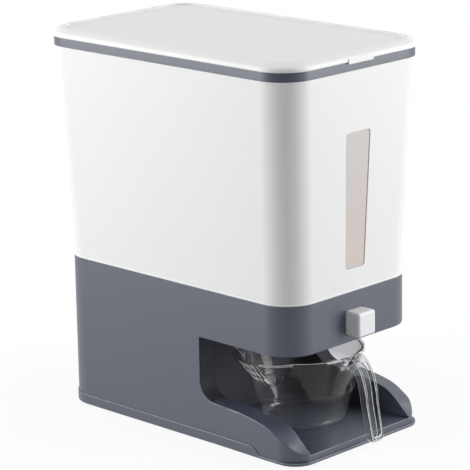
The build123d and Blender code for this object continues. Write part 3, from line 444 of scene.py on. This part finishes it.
def clear_wall_material():
    material, graph = new_material("clear_plastic")
    where = graph.place()
    haze = graph.noise(where, haze_scale, 3.0)
    mouth_shade = graph.axes(where)[2].share(mouth_shade_from_z, mouth_shade_full_z)
    wall = graph.add(
        "ShaderNodeBsdfPrincipled", None,
        # Painted shade: the wall turns grey towards the mouth.
        Base_Color=graph.mix(mouth_shade, (0.985, 0.985, 0.985, 1.0), (0.5, 0.5, 0.52, 1.0)),
        Roughness=0.015 + haze * 0.04,
        IOR=wall_ior,
        Transmission_Weight=1.0,
        Coat_Weight=0.2,
        Coat_IOR=1.5,
        Coat_Roughness=0.03,
        Normal=graph.bump(graph.noise(where, uneven_wall_scale, 1.0), mm(0.05), 0.15),
    )
    skin = graph.add("ShaderNodeBsdfPrincipled", None, Base_Color=grey(0.6), Roughness=0.35, IOR=1.3)
    let_lamps_through(graph, graph.mix_shader(haze * more_haze + least_haze, wall, skin))
    return material


clear_plastic = clear_wall_material()
print("cup's axis at y", round(cup_axis.y, 4), "rim at z", round(cup_high.z, 4))

# %% [markdown]
# The handle and the strainer are thin ribs and bars. Bending light in each of them would turn them into
# noise at this size, so they are films: a share of grey plastic over what is seen straight through. The eye
# reads such ribs by the outlines that bent light draws, so the rounded edges get painted light instead: a
# nearly white film as a painted highlight, and a dark one as a painted dark edge.

# %% The cup's films
streak_scale = 160.0
darker_streak, lighter_streak = 0.8, 1.2
thinnest_film, thicker_film = 0.6, 0.8


def clear_film_material(name, tint, body, share):
    """A film that is a share of plastic of the body's grey. The rest is see-through, with a tint."""
    material, graph = new_material(name)
    where = graph.place()
    streaks = graph.noise(where, streak_scale, 2.0)
    window = graph.add("ShaderNodeBsdfTransparent", None, Color=(*tint, 1.0))
    skin = graph.add(
        "ShaderNodeBsdfPrincipled", None,
        Base_Color=graph.mix(streaks, grey(body * darker_streak), grey(body * lighter_streak)),
        Roughness=0.16 + streaks * 0.1,
        IOR=1.5,
    )
    uneven = (share * (streaks * thicker_film + thinnest_film)).clamped()
    let_lamps_through(graph, graph.mix_shader(uneven, window, skin))
    return material


# The first film is a painted highlight for rounded edges. The last is a painted dark edge.
clear_painted_highlight = clear_film_material("clear_painted_highlight", (0.9, 0.92, 0.92), 0.95, 0.92)
clear_handle = clear_film_material("clear_handle", (0.84, 0.85, 0.87), 0.30, 0.10)
clear_film = clear_film_material("clear_film", (0.93, 0.94, 0.94), 0.2, 0.03)
clear_painted_dark_edge = clear_film_material("clear_painted_dark_edge", (0.30, 0.31, 0.33), 0.1, 0.2)
print("films", clear_painted_highlight.name, clear_handle.name, clear_film.name, clear_painted_dark_edge.name)

# %% [markdown]
# The solids arrive as loose triangles. A merged copy has shared corners, so it can be shaded smoothly
# where the real face is curved and stay sharp at real edges. Flat regions are dissolved into single
# faces first, which leaves only the edges that matter.

# %% Merged copies of the solids
weld_distance = mm(0.002)
flat_angle = math.radians(0.2)


def merged_mesh(node):
    """A bmesh of the node with shared corners and flat regions as single faces."""
    shape = bmesh.new()
    shape.from_mesh(nodes[node].data)
    bmesh.ops.remove_doubles(shape, verts=shape.verts, dist=weld_distance)
    bmesh.ops.dissolve_limit(
        shape, angle_limit=flat_angle, use_dissolve_boundaries=False,
        verts=shape.verts, edges=shape.edges,
    )
    return shape


def sharp_edges(shape, crease):
    return [edge for edge in shape.edges if edge.calc_face_angle(0.0) > crease]


print("solids to merge", len(nodes))

# %% [markdown]
# No moulded edge is truly sharp: the plastic shrinks from the mould's corner and leaves a small round, and
# that round is what catches the light. A bevel with two segments makes it. Where several short edges meet,
# a new corner can slide past the surface, so it is laid back on it.

# %% Rounded edges
mould_crease = math.radians(32.0)
stray_share = 0.6            # of the radius: how far a corner may lie from the surface
rounded_strip = 1            # material slot of the rounded strips


def softened(shape, radius, chosen=lambda edge: True):
    """Rounds the chosen outer edges. The strips take the piece's second material."""
    surface = BVHTree.FromBMesh(shape)
    outer_edges = [edge for edge in sharp_edges(shape, mould_crease) if edge.is_convex and chosen(edge)]
    strips = bmesh.ops.bevel(
        shape, geom=outer_edges, offset=radius, offset_type="OFFSET", affect="EDGES",
        segments=2, profile=0.5, material=-1, clamp_overlap=False, loop_slide=True,
    )["faces"]
    # For the white and blue-grey pieces, the second material is a paler copy of the plastic: a painted
    # highlight along each rounded edge.
    for face in strips:
        face.material_index = rounded_strip
    laid_back = 0
    for corner in shape.verts:
        place, _, _, away = surface.find_nearest(corner.co)
        if away > radius * stray_share:
            corner.co = place
            laid_back += 1
    print("  rounded edges", len(outer_edges), "corners laid back", laid_back)


print("strips take material", rounded_strip)

# %% [markdown]
# The base is one moulding, but the back wall of its bay gets a darker, rougher material: the darker colour
# is painted shade. The faces that look forward behind the cup get it.

# %% The bay's back wall
bay_shade_slot = 2
bay_front_y = cup_axis.y + mm(15)
bay_rear_y = cup_high.y + mm(20)
bay_floor_z = mm(10)
bay_roof_z = cup_high.z + mm(14)
looks_forward = -0.25        # greatest y of such a face's normal


def mark_bay_shade_faces(shape):
    for face in shape.faces:
        middle = face.calc_center_median()
        behind_cup = bay_front_y < middle.y < bay_rear_y and bay_floor_z < middle.z < bay_roof_z
        # These faces get the material with the painted shade.
        if behind_cup and face.normal.y < looks_forward:
            face.material_index = bay_shade_slot


print("bay's back wall between y", round(bay_front_y, 3), "and", round(bay_rear_y, 3))

# %% [markdown]
# The cup is one moulding too, and what a face of it looks like depends on where it is. Two tests say
# whether a place is on the handle or on the strainer's wall, below the spout's rim.

# %% Places on the cup
handle_front_y = cup_axis.y - cup_rim_radius
handle_root_y = handle_front_y + mm(3)
handle_root_low_z = cup_high.z - mm(8)
strainer_x = -cup_rim_radius * 0.86
spout_rim_x = strainer_x * 0.7
spout_axis = Vector((cup_low.x + mm(48), cup_axis.y, 0.0))
spout_low_z = cup_high.z - mm(28)
rim_low_z = cup_high.z - mm(3)
top_edge_z = cup_high.z - mm(4)


def middle_of(edge):
    return (edge.verts[0].co + edge.verts[1].co) / 2


def on_handle(place):
    root = place.y < handle_root_y and place.z > handle_root_low_z
    return root or place.y < handle_front_y


def on_strainer(place):
    return place.x < strainer_x and spout_low_z < place.z < rim_low_z


def out_of_spout(place):
    """The level direction from the spout's axis to a place."""
    return Vector((place.x - spout_axis.x, place.y - spout_axis.y, 0.0)).normalized()


print("strainer left of x", round(strainer_x, 4), "handle in front of y", round(handle_front_y, 4))

# %% [markdown]
# The handle's ribs have broad rounds, and the strainer's slots have them on the spout's outside alone: the
# wall between two slots has no room for more. All other edges of the cup get a narrow one.

# %% Rounded edges of the cup
handle_round = mm(1.05)
slot_round = mm(0.8)
cup_round = mm(0.4)
faces_outwards = 0.6         # least share of the normal that points out of the spout


def rim_of_slot(edge):
    """An edge where one of the strainer's slots meets the spout's outside."""
    middle = middle_of(edge)
    outwards = out_of_spout(middle)
    return on_strainer(middle) and max(face.normal.dot(outwards) for face in edge.link_faces) > faces_outwards


def elsewhere(edge):
    middle = middle_of(edge)
    return not on_handle(middle) and not on_strainer(middle)


def soften_cup(shape):
    softened(shape, handle_round, lambda edge: on_handle(middle_of(edge)))
    softened(shape, slot_round, rim_of_slot)
    softened(shape, cup_round, elsewhere)


print("rounds of the cup in mm", handle_round * 1000, slot_round * 1000, cup_round * 1000)

# %% [markdown]
# Now each face of the cup gets its material. Faces that run over a border are cut along it first, so that
# light which enters through a film also leaves through one. On a rounded rib, the strips that look
# sideways become the dark line, a painted dark edge, and the others the bright one, a painted highlight. At a
# slot only the strips that look to the front get the painted highlight, which draws the strainer as rows of
# slanted dashes.

# %% The cup's faces
# The bright rim is a painted highlight and the dark line is a painted dark edge.
cup_looks = ("wall", "bright rim", "handle", "clear film", "dark line")
wall, rim, handle, clear, line = range(len(cup_looks))
cut_tolerance = mm(0.01)
# Shares of a face's normal: across the handle, out of the spout, and along Y.
sideways_strip = 0.7
sideways_wall = 0.8
spout_rim_outwards = 0.7
slot_outwards = 0.2
slot_forwards = -0.3


def cut_across(shape, place, direction):
    """Divides the faces that a plane crosses and leaves the shape as it is."""
    everything = shape.verts[:] + shape.edges[:] + shape.faces[:]
    bmesh.ops.bisect_plane(shape, geom=everything, dist=cut_tolerance, plane_co=place, plane_no=direction)


def cup_material(face):
    """The slot of a face's material: wall, bright rim (a painted highlight), handle, clear film or dark line
    (a painted dark edge).
    """
    middle = face.calc_center_median()
    outwards = face.normal.dot(out_of_spout(middle))
    sideways = abs(face.normal.x)
    rounded = face.material_index == rounded_strip
    if on_handle(middle):
        if rounded:
            return line if sideways > sideways_strip else rim
        return clear if sideways > sideways_wall else handle
    if on_strainer(middle):
        # Painted highlight on the front side of each slot's rounded edge.
        lit = rounded and outwards > slot_outwards and face.normal.y < slot_forwards
        return rim if lit else clear
    if middle.x < spout_rim_x and middle.z > rim_low_z:
        return rim if outwards > spout_rim_outwards else wall
    if rounded and middle.z < top_edge_z:
        return wall
    return face.material_index


def mark_cup_faces(shape):
    cut_across(shape, (strainer_x, 0, 0), (1, 0, 0))
    cut_across(shape, (0, handle_root_y, 0), (0, 1, 0))
    cut_across(shape, (0, 0, spout_low_z), (0, 0, 1))
    for face in shape.faces:
        face.material_index = cup_material(face)


print("cup's looks", *cup_looks, sep=", ")

# %% [markdown]
# A finished copy replaces its solid in the picture and rides on the same body. Its faces are shaded
# smoothly, the remaining sharp edges are marked, and a Weighted Normal modifier lets the large faces keep
# their flat look beside the narrow rounds.

# %% Pieces in the scene
shading_crease = math.radians(50.0)
body_of_node = {
    member: body
    for body, members in frame["record"]["behaviour"]["bodies"].items() for member in members
}
edge_radius = {
    "base_housing": mm(0.5), "lid_shell": mm(0.3), "mouth_collar": mm(0.3), "bin_shell": mm(0.3),
    "window_pane": mm(0.3), "button_cap": mm(0.2),
}


def put_in_scene(name, shape, body, materials):
    """Makes an object of a bmesh that rides on a body."""
    for face in shape.faces:
        face.smooth = True
    for edge in sharp_edges(shape, shading_crease):
        edge.smooth = False
    mesh = bpy.data.meshes.new(name)
    shape.to_mesh(mesh)
    shape.free()
    piece = bpy.data.objects.new(name, mesh)
    for material in materials:
        mesh.materials.append(material)
    bpy.context.scene.collection.objects.link(piece)
    even_shading = piece.modifiers.new("even_shading", "WEIGHTED_NORMAL")
    even_shading.keep_sharp = True
    even_shading.weight = 50
    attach(piece, body)
    return piece


def finished(node, materials):
    """A merged copy of the node, with softened edges, that takes its place."""
    shape = merged_mesh(node)
    if node in edge_radius:
        softened(shape, edge_radius[node])
    if node == "measuring_cup":
        soften_cup(shape)
        mark_cup_faces(shape)
    if node == "base_housing":
        mark_bay_shade_faces(shape)
    piece = put_in_scene(node + "_finished", shape, body_of_node[node], materials)
    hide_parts(node)
    return piece


print("pieces with rounded edges", len(edge_radius) + 1)

# %% [markdown]
# The record names a material slot for each piece. The lists below give a slot its material and, where the
# piece has rounded strips or marked faces, the materials that follow it.

# %% Every piece
finishes = {
    "white_plastic": [white_plastic, white_edge_highlight],
    "blue_grey_plastic": [blue_grey_plastic, blue_grey_edge_highlight, blue_grey_bay_shade],
    "button_plastic": [button_plastic, white_edge_highlight],
    "clear_plastic": [clear_plastic, clear_painted_highlight, clear_handle, clear_film, clear_painted_dark_edge],
    "frosted_pane": [frosted],
    "inner_plastic": [inner_plastic],
    "dark_plastic": [dark_plastic],
    "soft_seal": [soft_seal],
    "rubber": [rubber],
    "steel": [steel],
}
piece_of_node = {}
for part in frame["record"]["subparts"]:
    node, slot = part["node"], part["material_slot"]
    piece_of_node[node] = finished(node, finishes[slot])
    print(node, "faces", len(piece_of_node[node].data.polygons))

# %% [markdown]
# When the button is pressed, the gate's spring is squeezed against its fixed end by the button's travel. The
# spring gets a mesh of its own here, and the share of its length that is left when it is closed is worked
# out.

# %% The return spring's closed length
button_slide = next(
    joint for joint in frame["record"]["behaviour"]["joints"] if joint["name"] == "button_slide"
)
spring_low, spring_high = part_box("return_spring")
spring_length = spring_high.y - spring_low.y
spring_share_left = 1 - button_slide["range_m"][1] / spring_length
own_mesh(piece_of_node["return_spring"])
print("spring", round(spring_length, 4), "closes to", round(spring_share_left, 3))

# %% [markdown]
# The floor is white paper that runs on into a white room. What the camera, a reflection or a ray through
# the cup meets is a soft glow, and near the object a share of matt white in it keeps the shadow. For all
# other rays the paper is grey, so it lights the object only dimly.
# Between the two softboxes, on the camera's side, the room is dark. Only reflections and rays through the
# cup meet that, and the floor's part of it only reflections. Their dark band runs down the base's rounded
# upright corner.

# %% Floor
floor_size = 14.0
towards_dark = Vector((-math.sin(camera_heading), -math.cos(camera_heading), 0.0))
glow_near = 0.88             # share of the glow beside the object
glow_radii = (0.2, 0.5)
dark_floor_radii = (0.15, 0.38)


def floor_material():
    material, graph = new_material("floor_white")
    seen = graph.rays("Camera", "Glossy", "Transmission")
    reflected = graph.rays("Glossy") * (1.0 - graph.rays("Camera"))
    x, y, _ = graph.axes(graph.place())
    distance = (x * x + y * y) ** 0.5
    matt = graph.add("ShaderNodeBsdfDiffuse", None, Color=graph.mix(seen, grey(0.5), grey(1.0)))
    glow = graph.add("ShaderNodeEmission", None, Color=grey(1.0), Strength=1.0)
    glow_share = distance.share(*glow_radii) * (1.0 - glow_near) + glow_near
    dark_side = (x * towards_dark.x + y * towards_dark.y).share(*dark_floor_radii)
    surface = graph.mix_shader(glow_share * seen * (1.0 - dark_side * reflected), matt, glow)
    graph.add("ShaderNodeOutputMaterial", None, surface)
    return material


def make_floor():
    shape = bmesh.new()
    bmesh.ops.create_grid(shape, x_segments=1, y_segments=1, size=floor_size / 2)
    mesh = bpy.data.meshes.new("floor")
    shape.to_mesh(mesh)
    shape.free()
    mesh.materials.append(floor_material())
    floor = bpy.data.objects.new("floor", mesh)
    bpy.context.scene.collection.objects.link(floor)


make_floor()
print("floor", floor_size, "m")

# %% [markdown]
# Two large softboxes light the two faces that the camera sees, one each, and a weaker one hangs above. The
# gap between them, on the camera's side, leaves the rounded upright corner darker.

# %% Lights
lamp_target = Vector((0.0, 0.0, 0.2))


def softbox(name, place, size, power):
    data = bpy.data.lights.new(name, "AREA")
    data.shape = "RECTANGLE"
    data.size, data.size_y = size
    data.energy = power
    lamp = bpy.data.objects.new(name, data)
    lamp.location = place
    lamp.rotation_euler = (lamp_target - Vector(place)).to_track_quat("-Z", "Y").to_euler()
    bpy.context.scene.collection.objects.link(lamp)


softbox("softbox_left", (-1.45, 1.25, 0.75), (1.3, 1.5), 37.0)
softbox("softbox_right", (1.25, -1.45, 0.75), (1.3, 1.5), 37.0)
softbox("softbox_top", (0.0, 0.0, 1.9), (1.2, 1.2), 6.0)
print("lights", len(bpy.data.lights))

# %% [markdown]
# The room's walls. The camera, reflections and clear plastic see white, and the object itself gets only a
# dim fill from them. The dark side of the room stands in the same direction as the floor's and fades out
# upwards. In a world, the Generated output is the ray's direction.

# %% World
fill = 0.28
studio_dark = 0.03           # what is left of the white on the dark side
dark_edges = (-0.1, 0.8)     # of the direction towards the dark side
dark_top = (0.45, 0.9)       # of the direction upwards


def make_world():
    world = bpy.data.worlds.new("studio")
    world.use_nodes = True
    bpy.context.scene.world = world
    graph = Graph(world.node_tree)
    seen = graph.rays("Camera", "Glossy", "Transmission")
    indirect = graph.rays("Glossy", "Transmission") * (1.0 - graph.rays("Camera"))
    x, y, z = graph.axes(graph.add("ShaderNodeTexCoord", None, out="Generated"))
    camera_side = x * towards_dark.x + y * towards_dark.y
    dark = camera_side.share(*dark_edges) * (1.0 - z.share(*dark_top))
    shade = 1.0 - indirect * dark * (1.0 - studio_dark)
    strength = (fill + seen * (1.0 - fill)) * shade
    graph.add(
        "ShaderNodeOutputWorld", None,
        graph.add("ShaderNodeBackground", None, Color=grey(1.0), Strength=strength),
    )


make_world()
print("fill", fill)
